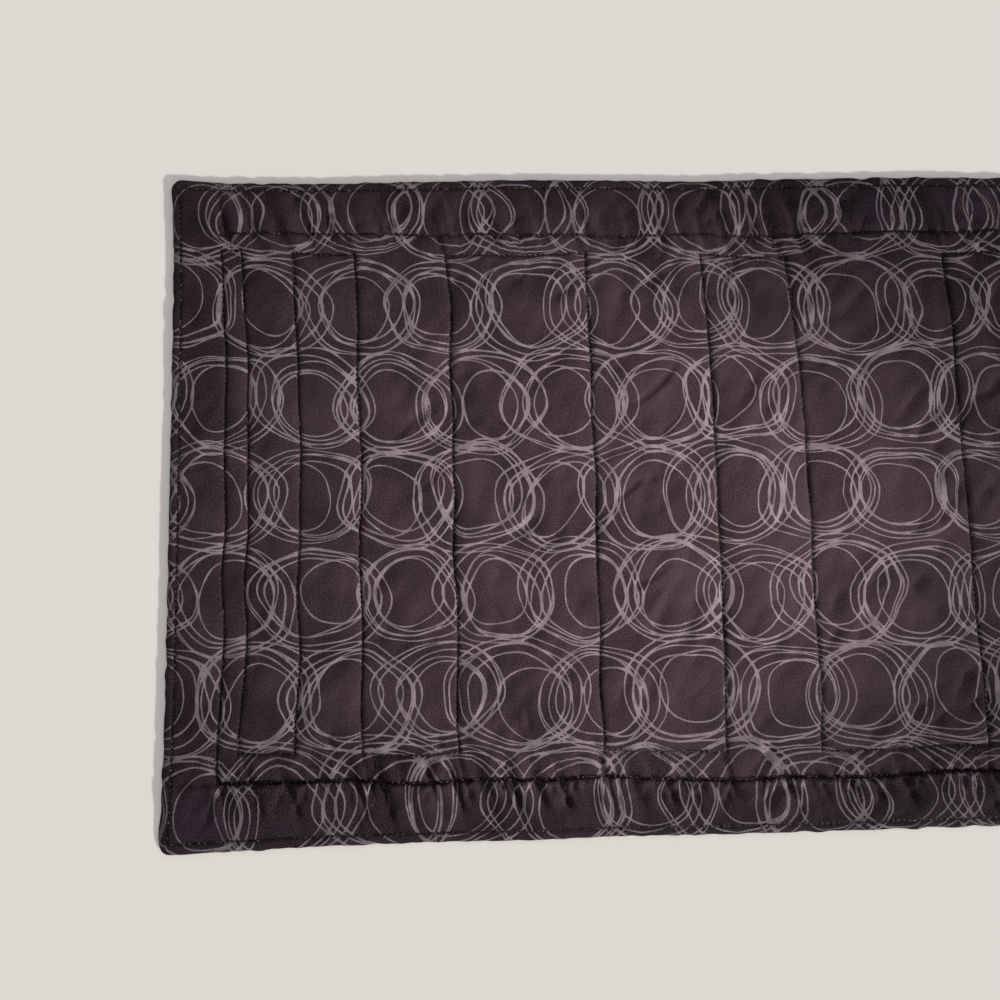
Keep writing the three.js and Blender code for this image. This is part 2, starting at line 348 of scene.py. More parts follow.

# The main creases, listed one by one. length is half of a crease's reach, width is its trough's, and turn
# is the way that it runs, in degrees up from +u. A crease with a negative depth is a ridge.
CREASES = table(
    "u v length width depth turn",
    (282, 64, 19, 2.3, 1.30, 43),
    (258, 25, 12, 2.0, 1.10, 12),
    (280, 32, 14, 1.8, 0.60, 24),
    (291, 43, 10, 2.2, 0.80, 50),
    (261, 2, 12, 2.0, 1.10, 38),
    (285, 12, 20, 1.8, 0.65, 20),
    (272, -50, 13, 2.2, 1.20, 28),
    (280, -58, 26, 2.6, -0.45, 52),
    (256, -82, 10, 2.0, 0.60, 12),
    (250, -110, 7, 2.6, 0.80, 10),
    (298, -112, 8, 2.4, 0.50, 40),
    (288, 130, 9, 2.2, 0.70, 38),
    (333, 135, 9, 2.4, 1.10, 50),
    (345, 66, 15, 1.8, 0.70, -3),
    (392, 8, 10, 2.0, 0.75, 28),
    (394, -48, 12, 2.0, 0.95, -3),
    (384, -79, 12, 1.8, 0.60, 24),
    (187, 43, 8, 2.2, 0.85, -38),
    (185, 132, 9, 2.2, 0.85, 50),
    (205, 131, 8, 2.2, 0.65, 46),
    (203, 111, 8, 2.2, 0.60, 34),
    (230, 122, 10, 2.2, 0.55, 30),
    (185, -68, 11, 2.0, 0.60, -46),
    (201, -127, 11, 2.2, 0.75, -84),
    (85, 25, 8, 1.8, 0.90, 4),
    (115, 25, 8, 1.8, 0.80, 2),
    (134, 40, 10, 2.0, 0.65, 54),
    (143, 6, 13, 2.0, 0.65, 34),
    (57, -44, 11, 1.8, 0.65, 12),
    (48, -98, 7, 2.0, 0.70, 18),
    (148, -147, 11, 2.4, 1.10, 62),
    (92, -143, 8, 2.2, 0.80, 80),
    (29, -168, 12, 2.6, 1.00, 68),
    (134, -172, 10, 2.6, 0.90, 44),
    (290, 148, 8, 2.2, 0.90, 84),
    (383, 152, 8, 2.2, 0.85, 52),
    (420, 40, 12, 2.2, 0.80, 42),
    (436, -20, 13, 2.0, 0.75, 24),
    (487, 62, 14, 2.2, 0.90, 36),
    (500, -70, 12, 2.0, 0.80, 30),
)
# A crease's real width and its taper as shares of its width here, and its bow as a share of its length
CREASE = {"width": 0.74, "taper": 0.3, "bow": 0.12}
# The ridge beside each trough, in shares of the trough's width and depth
CREASE_RIDGE = {"aside": 1.7, "width": 1.3, "height": 0.55}
FOLD_RIDGE = {"aside": 1.9, "width": 1.2, "height": 0.6}


def trough(off, width, ridge):
    """A narrow trough 1 deep, with a lower ridge beside it."""
    beside = bell(off + ridge["aside"] * width, ridge["width"] * width)
    return ridge["height"] * beside - bell(off, width)


def crease_places(u, v):
    """Each crease's depth, with how far along it and off it each place is, and its width there."""
    for row in CREASES + [{**row, "u": LENGTH - row["u"], "v": -row["v"]} for row in CREASES]:
        turn = math.radians(row["turn"])
        du = u - row["u"]
        dv = v - row["v"]
        along = (du * math.cos(turn) + dv * math.sin(turn)) / row["length"]
        # The crease bows a little, so that it isn't a straight mark.
        off = dv * math.cos(turn) - du * math.sin(turn) - CREASE["bow"] * row["length"] * along**2
        width = CREASE["width"] * row["width"] * (1 - CREASE["taper"] * np.tanh(along))
        yield row["depth"], along, off, width


def creases_at(u, v):
    """The listed creases' height."""
    height = np.zeros(np.shape(u))
    for depth, along, off, width in crease_places(u, v):
        height += depth * np.exp(-np.abs(along) ** 3) * trough(off, width, CREASE_RIDGE)
    return height


# The deepest folds outside the near border line, listed one by one. They fade outwards from it.
BORDER_FOLDS = table(
    "u reach depth",
    (68, 14, 1.1),
    (80, 16, 1.3),
    (113, 12, 0.9),
    (145, 12, 1.0),
    (170, 12, 0.8),
    (187, 11, 0.8),
    (200, 15, 1.2),
    (215, 11, 0.6),
    (228, 14, 1.2),
    (252, 14, 0.8),
    (270, 11, 0.6),
    (286, 15, 1.3),
    (300, 15, 1.1),
    (316, 18, 1.5),
    (334, 13, 1.1),
    (351, 13, 1.0),
    (368, 11, 0.6),
    (384, 14, 1.1),
    (402, 13, 0.9),
    (421, 14, 1.1),
    (446, 15, 0.9),
    (470, 13, 1.0),
    (496, 15, 1.1),
    (520, 13, 0.9),
)
# A fold widens and leans by a share of its distance out from the line.
FOLD = {"width": 1.35, "widening": 0.06, "lean": 0.42, "start": 0.9}


def fold_places(u, v):
    """Each fold, with how far out from the near border line and off the fold each place is."""
    out = -v - BORDER
    for row in BORDER_FOLDS + [{**row, "u": LENGTH - row["u"]} for row in BORDER_FOLDS]:
        yield row, out, u - row["u"] + FOLD["lean"] * np.maximum(out, 0)


def border_folds_at(u, v):
    """The listed folds' height."""
    height = np.zeros(np.shape(u))
    for row, out, off in fold_places(u, v):
        past = np.maximum(out, 0)
        width = FOLD["width"] + FOLD["widening"] * past
        fading = (1 - np.exp(-past / FOLD["start"])) * bell(past, row["reach"])
        height += row["depth"] * fading * trough(off, width, FOLD_RIDGE)
    return height


def is_detailed(u, v):
    """Where a crease or a fold, with a margin round it, needs a mesh twice as fine."""
    found = np.zeros(np.shape(u), bool)
    for _, along, off, width in crease_places(u, v):
        found |= (np.abs(along) < 1.1) & (np.abs(off) < 2 * width)
    for row, out, off in fold_places(u, v):
        found |= (out > 0) & (out < row["reach"]) & (np.abs(off + 0.6) < 3 * FOLD["width"])
    return found


def sharp_troughs(height, amount=0.3):
    """The same ripples, with broader crests and narrower troughs, as creased cloth has."""
    return height - amount * (height * height - 1)


def gathers_at(u, v):
    """Gathers that the border lines draw up, which fade out across the border strips."""
    off = np.abs(v) - BORDER
    # The two sides have gathers of their own.
    along = u - GATHER_LEAN * off * np.sign(-v) + np.where(v > 0, 0, 1500)
    folds = 0.7 * gather(along) + 0.5 * fine_gather(along)
    outside = np.exp(-np.maximum(off, 0) / GATHER_REACH["outside"])
    inside = np.exp(np.minimum(off, 0) / GATHER_REACH["inside"])
    fading = eased_over(to_end(u), GATHER_START)
    drawn_up = np.where(v > 0, GATHER["far"], GATHER["near"]) * outside * inside * sharp_troughs(folds)
    ridge = bell(off - BORDER_RIDGE["out"], BORDER_RIDGE["width"])
    bulge = np.where(v < 0, BORDER_RIDGE["height"], 0) * ridge * (1 + 0.4 * gather(u))
    return fading * (drawn_up + bulge)


def detail_at(u, v, seam_distance, along_seam):
    """Everything uneven about a face, which the stitching holds down."""
    free = 1 - np.exp(-seam_distance / FREE_REACH)
    close = 1 - np.exp(-seam_distance / CLOSE_REACH)
    patches = 0.85 + 0.30 * np.clip(wrinkle_patch(u, v), -1, 1.6)
    wrinkles = WRINKLE * patches * sharp_troughs(wrinkle(u, v)) + CRUMPLE * crumple(u, v)
    puckers = PUCKER * pucker(along_seam) * np.exp(-seam_distance / PUCKER_REACH)
    # The narrow channels at the ends are calmer.
    calm = CALM_ENDS + (1 - CALM_ENDS) * eased_over(to_end(u), CALM)
    waves = free * (calm * (SWELL * swell(u, v) + wrinkles) + creases_at(u, v))
    return waves + close * (puckers + gathers_at(u, v)) + border_folds_at(u, v)


def groove_at(v, width):
    """How deep the near border line lies in its groove, from 0 to 1."""
    return bell(v + BORDER, width)


def edge_value(v, row):
    """An edge's value, which changes smoothly from the near edge's to the other edges'."""
    return row["other"] + (row["near"] - row["other"]) * eased_over(-v, NEAR_EDGE)


def loft_at(seam_distance):
    """How much of its full height the wadding has, from 0 at a seam towards 1."""
    return sum(row["share"] * (1 - np.exp(-seam_distance / row["reach"])) for row in LOFT)


def edge_distance(u, v):
    return np.minimum(to_end(u), HALF_WIDTH - np.abs(v))


def top_at(u, v):
    """Height of the printed face."""
    distance, along = nearest_seam(u, v)
    inwards = edge_distance(u, v)
    fall = smooth(inwards / EDGE_FALL)
    edge = edge_value(v, EDGE_THICKNESS)
    ceiling = edge + (PANEL_THICKNESS - edge) * fall
    detail = detail_at(u, v, distance, along) * (EDGE_DETAIL + (1 - EDGE_DETAIL) * fall)
    detail = detail - GROOVE["depth"] * groove_at(v, GROOVE["width"])
    # The turned edge is round: the near one from its topstitching out, the others close to the edge alone.
    roll = np.sqrt(1 - np.clip(1 - inwards / edge_value(v, EDGE_ROLL), 0, 1) ** 2)
    # Its folded layers are thick under the topstitching too.
    at_edge = 1 - eased_over(inwards, TURNED_IN)
    stitched = STITCHED_TOP + (edge_value(v, EDGE_STITCHED) - STITCHED_TOP) * at_edge
    height = roll * (stitched + (ceiling - stitched) * loft_at(distance)) + detail
    # However deep a crease is, the wadding keeps the two faces apart.
    lowest = under_at(u, v) + LEAST_THICKNESS
    return lowest + SOFT * np.logaddexp(0, (height - lowest) / SOFT)


def under_at(u, v):
    """Height of the backing, which rests on the surface between its seams."""
    distance, _ = nearest_seam(u, v)
    lift = STITCHED_UNDER * np.exp(-distance / UNDER_LIFT_REACH)
    uneven = 1 + np.clip(wrinkle(u + 400, -v), -1, 1)
    pockets = POCKET["depth"] * uneven * (1 - np.exp(-distance / POCKET["reach"]))
    return np.maximum(lift + pockets - POCKET["flat"], 0)


# Meshes

# Where the mesh has stations beside a line of stitching, and how far apart they may be
OUT_FROM_LINE = [0.0, 0.8, 1.9, 3.7]
LEAST_GAP = 0.35
SPACING = 2.95
BACKING_SPACING = 5.5


def stations(lines, low, high):
    """Stations from low to high: close together beside each line, and spread out between."""
    beside = [line + sign * out for line in lines for out in OUT_FROM_LINE for sign in (-1, 1)]
    # Where two lines are close together, each keeps its own stations on its own side.
    kept = []
    for place in sorted(set(np.round(beside, 4))):
        nearest = min(abs(place - line) for line in lines)
        own = any(abs(nearest - out) < 1e-3 for out in OUT_FROM_LINE)
        if own and low < place < high and (not kept or place - kept[-1] > LEAST_GAP):
            kept.append(place)
    fixed = [low, *kept, high]
    places = []
    for start, end in zip(fixed, fixed[1:]):
        steps = max(1, math.ceil((end - start) / SPACING))
        places.extend(start + (end - start) * k / steps for k in range(steps))
    return np.array([*places, high])


def kept_stations(places, lines):
    """The numbers of the stations that the backing keeps: both ends, each line, and some between."""
    kept = [0]
    for number, place in enumerate(places[:-1]):
        on_line = min(abs(place - line) for line in lines) < 1e-6
        ahead = [line - place for line in [*lines, places[-1]] if line > place]
        far = place - places[kept[-1]] > BACKING_SPACING and min(ahead) > 0.5 * BACKING_SPACING
        if number and (on_line or far):
            kept.append(number)
    return np.array([*kept, len(places) - 1])


def add_object(name, data):
    made = bpy.data.objects.new(name, data)
    bpy.context.scene.collection.objects.link(made)
    return made


def mesh_object(name, points, faces, values, *materials):
    """An object of a mesh whose points are in millimetres, with named values on its points."""
    mesh = bpy.data.meshes.new(name)
    mesh.from_pydata((points * MM).tolist(), [], faces)
    for key, numbers in values.items():
        kind, field = ("FLOAT_VECTOR", "vector") if numbers.ndim == 2 else ("FLOAT", "value")
        layer = mesh.attributes.new(key, kind, "POINT")
        layer.data.foreach_set(field, numbers.astype(np.float32).ravel())
    for material in materials:
        mesh.materials.append(material)
    mesh.shade_smooth()
    mesh.validate()
    return add_object(name, mesh)


RIM_RINGS = 5
RIM_LIFT = 0.12


def refined(us, vs):
    """The printed face's nominal points and faces: a grid, with each cell that needs it split into four."""
    count_u, count_v = len(us), len(vs)
    u, v = np.meshgrid(us, vs)
    middle_u, middle_v = (us[1:] + us[:-1]) / 2, (vs[1:] + vs[:-1]) / 2
    split = is_detailed(*np.meshgrid(middle_u, middle_v))
    split[[0, -1]] = False
    split[:, [0, -1]] = False
    across = np.zeros((count_v, count_u - 1), bool)
    across[:-1] |= split
    across[1:] |= split
    up = np.zeros((count_v - 1, count_u), bool)
    up[:, :-1] |= split
    up[:, 1:] |= split
    places = [np.stack([u.ravel(), v.ravel()], 1)]
    total = count_u * count_v
    numbers = []
    for chosen, grid in ((across, (middle_u, vs)), (up, (us, middle_v)), (split, (middle_u, middle_v))):
        number = np.full(chosen.shape, -1)
        number[chosen] = total + np.arange(chosen.sum())
        total += chosen.sum()
        numbers.append(number)
        places.append(np.stack([values[chosen] for values in np.meshgrid(*grid)], 1))
    index = np.arange(count_u * count_v).reshape(count_v, count_u)
    on_across, on_up, centre = numbers
    ring = np.stack(
        [
            index[:-1, :-1], on_across[:-1], index[:-1, 1:], on_up[:, 1:],
            index[1:, 1:], on_across[1:], index[1:, :-1], on_up[:, :-1],
        ],
        -1,
    )
    faces = [[number for number in cell if number >= 0] for cell in ring[~split].tolist()]
    for cell, middle in zip(ring[split].tolist(), centre[split].tolist()):
        faces.extend([cell[k], cell[k + 1], middle, cell[k - 1]] for k in (0, 2, 4, 6))
    return np.concatenate(places), faces, index


def runner_mesh(printed, backing):
    """The whole runner as one closed surface: the printed face, the turned edge and the backing."""
    lines_u = [TOPSTITCH_INSET, *column(cross_lines, "from_end"), LENGTH - TOPSTITCH_INSET]
    inner = HALF_WIDTH - TOPSTITCH_INSET
    lines_v = [-inner, -BORDER, -STEP, STEP, BORDER, inner]
    us = stations(lines_u, EDGE_ROUND, LENGTH - EDGE_ROUND)
    vs = stations(lines_v, EDGE_ROUND - HALF_WIDTH, HALF_WIDTH - EDGE_ROUND)

    def placed(u, v, z):
        x, y = plan(u, v)
        return np.stack([x, y, z], 1)

    top, faces, index = refined(us, vs)
    u, v = top.T
    top_z = top_at(u, v)
    points = [placed(u, v, top_z)]
    nominal = [top]

    # The turned edge, from the top's outer points down to the backing's
    rim = np.concatenate([index[0, :-1], index[:-1, -1], index[-1, :0:-1], index[:0:-1, 0]])
    rim_u, rim_v = u[rim], v[rim]
    out_u = np.select([rim_u <= EDGE_ROUND, rim_u >= LENGTH - EDGE_ROUND], [-1.0, 1.0], 0.0)
    side = HALF_WIDTH - EDGE_ROUND
    out_v = np.select([rim_v <= -side, rim_v >= side], [-1.0, 1.0], 0.0)
    high = top_z[rim]
    low = under_at(rim_u, rim_v) + RIM_LIFT
    total = len(top)
    upper = rim
    printed_faces = len(faces) + len(rim) * (RIM_RINGS // 2 + 1)
    for k in range(1, RIM_RINGS + 1):
        turn = math.pi * k / RIM_RINGS
        out = EDGE_ROUND * math.sin(turn)
        ring_u, ring_v = rim_u + out_u * out, rim_v + out_v * out
        height = (high + low) / 2 + (high - low) / 2 * math.cos(turn)
        points.append(placed(ring_u, ring_v, height))
        past = EDGE_ROUND * turn
        nominal.append(np.stack([rim_u + out_u * past, rim_v + out_v * past], 1))
        ring = total + np.arange(len(rim))
        total += len(rim)
        faces.extend(np.stack([upper, ring, np.roll(ring, -1), np.roll(upper, -1)], 1).tolist())
        upper = ring

    # The backing keeps some of the stations, and its outer faces take in every point of the rim.
    kept_u, kept_v = kept_stations(us, lines_u), kept_stations(vs, lines_v)
    backing_index = np.full(index.shape, -1)
    backing_index.ravel()[rim] = upper
    inside = np.ix_(kept_v[1:-1], kept_u[1:-1])
    inside_u, inside_v = (grid.ravel() for grid in np.meshgrid(us[kept_u[1:-1]], vs[kept_v[1:-1]]))
    backing_index[inside] = (total + np.arange(len(inside_u))).reshape(len(kept_v) - 2, -1)
    points.append(placed(inside_u, inside_v, under_at(inside_u, inside_v)))
    nominal.append(np.stack([inside_u, inside_v], 1))
    for low_v, high_v in zip(kept_v, kept_v[1:]):
        for low_u, high_u in zip(kept_u, kept_u[1:]):
            cell = backing_index[low_v : high_v + 1, low_u : high_u + 1]
            ring = [*cell[:-1, 0], *cell[-1, :-1], *cell[:0:-1, -1], *cell[0, :0:-1]]
            faces.append([int(number) for number in ring if number >= 0])

    points = np.concatenate(points)
    nominal = np.concatenate(nominal)
    distance, along = nearest_seam(nominal[:, 0], nominal[:, 1])
    values = {
        "cloth_place": np.column_stack([nominal, np.zeros(len(nominal))]),
        "seam_distance": distance,
        "along_seam": along,
        # The groove value carries the painted shade along the near border line.
        "groove": groove_at(nominal[:, 1], GROOVE["shade"]),
    }
    piece = mesh_object("quilted_runner", points, faces, values, printed, backing)
    materials = (np.arange(len(piece.data.polygons)) >= printed_faces).astype(np.int32)
    piece.data.polygons.foreach_set("material_index", materials)
    return piece


STITCH_GAP = 1.0
STITCH_SPREAD = {"hole": 0.09, "slant": 0.06}
STITCH_SLANT = 0.05
# A thread's radius, and as shares of it: its radius at its ends, its rise, and how deep its ends lie
THREAD_RADIUS = 0.29
THREAD_ENDS = 0.72
THREAD_RISE = 1.5
THREAD_SUNK = 0.9


def stitches(runs, seed):
    """The two ends of every stitch along some runs, as nominal places, each a little uneven."""
    rng = np.random.default_rng(seed)
    starts, ends = [], []
    for u0, v0, u1, v1 in runs:
        length = math.hypot(u1 - u0, v1 - v0)
        count = round(length / STITCH)
        holes = np.linspace(0, length, count + 1)
        holes[1:-1] += rng.normal(0, STITCH_SPREAD["hole"], count - 1)
        way = np.array([u1 - u0, v1 - v0]) / length
        aside = np.array([-way[1], way[0]])
        slant = rng.normal(0, STITCH_SPREAD["slant"], (count, 1)) + STITCH_SLANT
        starts.append([u0, v0] + np.outer(holes[:-1] + STITCH_GAP / 2, way) - slant * aside)
        ends.append([u0, v0] + np.outer(holes[1:] - STITCH_GAP / 2, way) + slant * aside)
    return np.concatenate(starts), np.concatenate(ends)


def thread_mesh(name, runs, material, seed, sections, sides, under=False):
    """Every stitch of some runs as a short bowed length of thread that dips into the cloth at both ends."""
    start, end = stitches(runs, seed)
    share = np.linspace(0, 1, sections)
    nominal = start[:, None] + (end - start)[:, None] * share[None, :, None]
    u, v = nominal[..., 0], nominal[..., 1]
    x, y = plan(u, v)
    bow = 4 * share * (1 - share)
    rise = THREAD_RADIUS * (THREAD_RISE * bow - THREAD_SUNK)
    if under:
        z = np.maximum(under_at(u, v) - rise[None], THREAD_RADIUS)
    else:
        z = top_at(u, v) + rise[None]
    centre = np.stack([x, y, z], -1)

    way = centre[:, -1] - centre[:, 0]
    way /= np.linalg.norm(way, axis=1, keepdims=True)
    aside = np.cross(way, [0, 0, 1])
    aside /= np.linalg.norm(aside, axis=1, keepdims=True)
    up = np.cross(aside, way)
    thickness = THREAD_RADIUS * (THREAD_ENDS + (1 - THREAD_ENDS) * bow)
    angles = 2 * np.pi * np.arange(sides) / sides
    around = aside[:, None, None] * np.cos(angles)[:, None] + up[:, None, None] * np.sin(angles)[:, None]
    points = centre[:, :, None] + around * thickness[None, :, None, None]

    count = len(start)
    index = np.arange(count * sections * sides).reshape(count, sections, sides)
    turn = np.roll(index, -1, axis=2)
    walls = np.stack([index[:, :-1], turn[:, :-1], turn[:, 1:], index[:, 1:]], -1).reshape(-1, 4)
    caps = index[:, 0, ::-1].tolist() + index[:, -1].tolist()
    # Some stitches get a paler painted highlight than others, but not those that lie deep in the near
    # border line's groove, which are left in painted shade.
    highlight = np.random.default_rng(seed + 100).uniform(0, 1, count)
    highlight = highlight * (1 - groove_at(v[:, 0], GROOVE["shade"]))
    twist = np.broadcast_arrays((share * STITCH)[None, :, None], angles, highlight[:, None, None])
    twist = np.stack([values.ravel() for values in twist], 1)
    faces = walls.tolist() + caps
    return mesh_object(name, points.reshape(-1, 3), faces, {"thread_place": twist}, material)


# Materials


class Graph:
    """A node tree that is built by calls: each returns the socket of its result."""

    def __init__(self, tree):
        self.tree = tree

    def node(self, kind, inputs=None, **settings):
        made = self.tree.nodes.new(kind)
        for name, value in settings.items():
            setattr(made, name, value)
        self.feed_all(made, inputs or {})
        return made

    def feed_all(self, made, inputs):
        for key, value in inputs.items():
            self.feed(made.inputs[key], value)

    def feed(self, socket, value):
        if isinstance(value, bpy.types.NodeSocket):
            self.tree.links.new(value, socket)
        else:
            socket.default_value = value

    def math(self, operation, first, second=0.0):
        return self.node("ShaderNodeMath", {0: first, 1: second}, operation=operation).outputs[0]

    def plus(self, first, second):
        return self.math("ADD", first, second)

    def minus(self, first, second):
        return self.math("SUBTRACT", first, second)

    def times(self, first, second):
        return self.math("MULTIPLY", first, second)

    def vector(self, operation, first, second=(0.0, 0.0, 0.0), third=(0.0, 0.0, 0.0)):
        inputs = {0: first, 1: second, 2: third}
        made = self.node("ShaderNodeVectorMath", inputs, operation=operation)
        return made.outputs["Value" if operation in ("LENGTH", "DOT_PRODUCT") else "Vector"]

    def combine(self, x=0.0, y=0.0, z=0.0):
        return self.node("ShaderNodeCombineXYZ", {"X": x, "Y": y, "Z": z}).outputs["Vector"]

    def across_and_up(self, vector):
        """The X and Y of a vector, as products, which Cycles works out in less space."""
        return [self.vector("DOT_PRODUCT", vector, axis) for axis in ((1.0, 0.0, 0.0), (0.0, 1.0, 0.0))]

    def ramp(self, value, low, high, to_low=0.0, to_high=1.0):
        """value, taken smoothly from low..high to to_low..to_high and held past them."""
        inputs = {"Value": value, "From Min": low, "From Max": high, "To Min": to_low, "To Max": to_high}
        return self.node("ShaderNodeMapRange", inputs, interpolation_type="SMOOTHSTEP").outputs[0]

    def as_vector(self, colour):
        made = self.node("ShaderNodeSeparateColor", {"Color": colour})
        return self.combine(*[made.outputs[channel] for channel in ("Red", "Green", "Blue")])

    def noise(self, place, scale, detail=2.0, roughness=0.5, output="Fac"):
        inputs = {"Vector": place, "Scale": scale, "Detail": detail, "Roughness": roughness}
        return self.node("ShaderNodeTexNoise", inputs, noise_dimensions="2D").outputs[output]

    def chances(self, key):
        """Three random numbers from 0 to 1 that depend on the key, as a vector."""
        made = self.node("ShaderNodeTexWhiteNoise", {"W": key}, noise_dimensions="1D")
        return self.as_vector(made.outputs["Color"])

    def blend(self, share, first, second):
        made = self.node("ShaderNodeMix", data_type="RGBA")
        self.feed_all(made, {0: share, 6: first, 7: second})
        return made.outputs[2]

    def attribute(self, name, output="Fac"):
        return self.node("ShaderNodeAttribute", attribute_name=name).outputs[output]


def group(name, sockets):
    """A node group with those named sockets. Gives its graph, its input sockets and its output node."""
    tree = bpy.data.node_groups.new(name, "ShaderNodeTree")
    for key, (way, kind) in sockets.items():
        tree.interface.new_socket(name=key, in_out=way, socket_type="NodeSocket" + kind)
    graph = Graph(tree)
    return graph, graph.node("NodeGroupInput").outputs, graph.node("NodeGroupOutput")


# The print: rows of rings, each scribbled with a few loose loops. One grid holds every second ring of
# every second row, so that no loop reaches past its own cell, and four such grids make up the print. A
# ring's three loops are worked out together, as the components of a vector. A loop with a spread goes
# round twice, and its two turns lie that far from its middle line where they part the most.
RING_PITCH = 50.0
ROW_PITCH = 56.5
ROW_SHIFT = 25.0
RING_JITTER = (9.0, 5.0, 0.0)
RING_GROWTH = 0.08
LOOPS = {
    "rx": (20.5, 27.5, 36.0),
    "ry": (20.5, 24.8, 28.3),
    "aside": (9.0, 5.0, 2.5),
    "up": (2.5, 2.4, 1.5),
    "spread": (0.0, 2.8, 2.4),
}
LOOP_GROWTH = 0.07
LOBES = 2
LOBE_HEIGHT = 0.04
LINE_SHARPNESS = (1.8, 1.25)
INK_THRESHOLD = 0.55
EDGE_ROUGHNESS = 0.8
CELL_KEYS = (31.0, 577.0, 0.0)
# How far the rings' places drift, and over what stretch
DRIFT = 7.0
DRIFT_SCALE = 0.033


def same(number):
    return (number, number, number)


def grid_group():
    """One grid of rings, shifted by an offset: how much ink it leaves at a place."""
    sockets = {name: ("INPUT", "Vector") for name in ("Place", "Offset", "Sharpness")}
    sockets |= {"Seed": ("INPUT", "Float"), "Ink": ("OUTPUT", "Float")}
    g, given, result = group("ring_grid", sockets)
    pitch = (2 * RING_PITCH, 2 * ROW_PITCH, 1.0)
    in_cells = g.vector("DIVIDE", g.vector("SUBTRACT", given["Place"], given["Offset"]), pitch)
    key = g.vector("DOT_PRODUCT", g.vector("FLOOR", in_cells), CELL_KEYS)
    chances = g.chances(g.plus(key, given["Seed"]))
    corner = tuple((jitter - size) / 2 for jitter, size in zip(RING_JITTER, pitch))
    local = g.vector("MULTIPLY_ADD", g.vector("FRACTION", in_cells), pitch, corner)
    local = g.vector("MULTIPLY_ADD", chances, tuple(-jitter for jitter in RING_JITTER), local)
    size = g.vector("DOT_PRODUCT", chances, (0.0, 0.0, 2 * RING_GROWTH))
    size = g.plus(size, 1 - RING_GROWTH)
    x, y = g.across_and_up(g.vector("MULTIPLY", local, g.combine(size, size, size)))
    angle = g.math("ARCTAN2", y, x)

    phase = g.vector("MULTIPLY", chances, same(600.0))
    side = g.vector("COSINE", phase)
    rise = g.vector("COSINE", g.vector("MULTIPLY", phase, same(3.7)))
    across = g.vector("MULTIPLY_ADD", rise, LOOPS["up"], g.combine(y, y, y))
    along = g.vector("MULTIPLY_ADD", side, LOOPS["aside"], g.combine(x, x, x))
    ratio_x = g.vector("DIVIDE", along, LOOPS["rx"])
    ratio_y = g.vector("DIVIDE", across, LOOPS["ry"])
    squares = g.vector("MULTIPLY_ADD", ratio_x, ratio_x, g.vector("MULTIPLY", ratio_y, ratio_y))
    turns = g.times(angle, float(LOBES))
    wave = g.vector("COSINE", g.vector("ADD", phase, g.combine(turns, turns, turns)))
    shape = g.vector("MULTIPLY_ADD", side, same(LOOP_GROWTH), same(1.0))
    shape = g.vector("MULTIPLY_ADD", wave, same(LOBE_HEIGHT), shape)
    # Near a loop, its reach exceeds 1 by half of what its squared reach does.
    radii = tuple((rx + ry) / 4 for rx, ry in zip(LOOPS["rx"], LOOPS["ry"]))
    off = g.vector("MULTIPLY", g.vector("SUBTRACT", squares, shape), radii)
    half = g.times(angle, 0.5)
    parting = g.vector("COSINE", g.vector("ADD", phase, g.combine(half, half, half)))
    parting = g.vector("ABSOLUTE", parting)
    apart = tuple(-spread for spread in LOOPS["spread"])
    off = g.vector("MULTIPLY_ADD", parting, apart, g.vector("ABSOLUTE", off))

    scaled = g.vector("MULTIPLY", off, given["Sharpness"])
    held = g.vector("DIVIDE", same(1.0), g.vector("MULTIPLY_ADD", scaled, scaled, same(1.0)))
    g.feed(result.inputs["Ink"], g.vector("DOT_PRODUCT", held, held))
    return g.tree


def add_print(g, place, grain):
    """How much ink lies at a place, from 0 to 1. The cloth's grain roughens the lines' edges."""
    grid = grid_group()
    drift = g.as_vector(g.noise(place, DRIFT_SCALE, 0.0, output="Color"))
    drift = g.vector("SUBTRACT", drift, same(0.5))
    sharp = g.ramp(g.noise(place, 0.075, 1.0), 0.28, 0.72, *LINE_SHARPNESS)
    sharpness = g.combine(sharp, sharp, sharp)
    _, up = g.across_and_up(place)
    ink = 0.0
    for row_shift in (0, 1):
        # Each row is shifted by an amount of its own, so that the rings don't stand in columns.
        row = g.math("FLOOR", g.math("DIVIDE", g.minus(up, row_shift * ROW_PITCH), 2 * ROW_PITCH))
        turn = g.plus(g.times(row, 4.8), 1.0 + 2.4 * row_shift)
        shifted = g.combine(g.times(g.math("SINE", turn), ROW_SHIFT), 0.0, 0.0)
        shifted = g.vector("ADD", place, shifted)
        for column_shift in (0, 1):
            way = (DRIFT * (1 - 2 * column_shift), DRIFT * (1 - 2 * row_shift), 0.0)
            moved = g.vector("MULTIPLY_ADD", drift, way, shifted)
            inputs = {
                "Place": moved,
                "Offset": (column_shift * RING_PITCH, row_shift * ROW_PITCH, 0.0),
                "Seed": 3.0 + 11.0 * column_shift + 5.0 * row_shift,
                "Sharpness": sharpness,
            }
            made = g.node("ShaderNodeGroup", node_tree=grid)
            g.feed_all(made, inputs)
            ink = g.plus(ink, made.outputs["Ink"])
    rough = g.times(g.minus(grain, 0.5), EDGE_ROUGHNESS)
    return g.ramp(g.plus(ink, rough), INK_THRESHOLD - 0.05, INK_THRESHOLD + 0.05)


# Yarns in a millimetre
YARNS = 2.9


def add_weave(g, place):
    """A plain weave's height at a place: two crossing sets of yarns."""
    turning = (math.pi * YARNS, math.pi * YARNS, 0.0)
    x, y = g.across_and_up(g.vector("MULTIPLY", place, turning))
    warp = g.math("SINE", x)
    weft = g.math("SINE", y)
    side = g.ramp(g.times(warp, weft), -0.4, 0.4)
    straight = g.times(g.math("ABSOLUTE", warp), side)
    crossing = g.times(g.math("ABSOLUTE", weft), g.minus(1.0, side))
    return g.plus(straight, crossing)


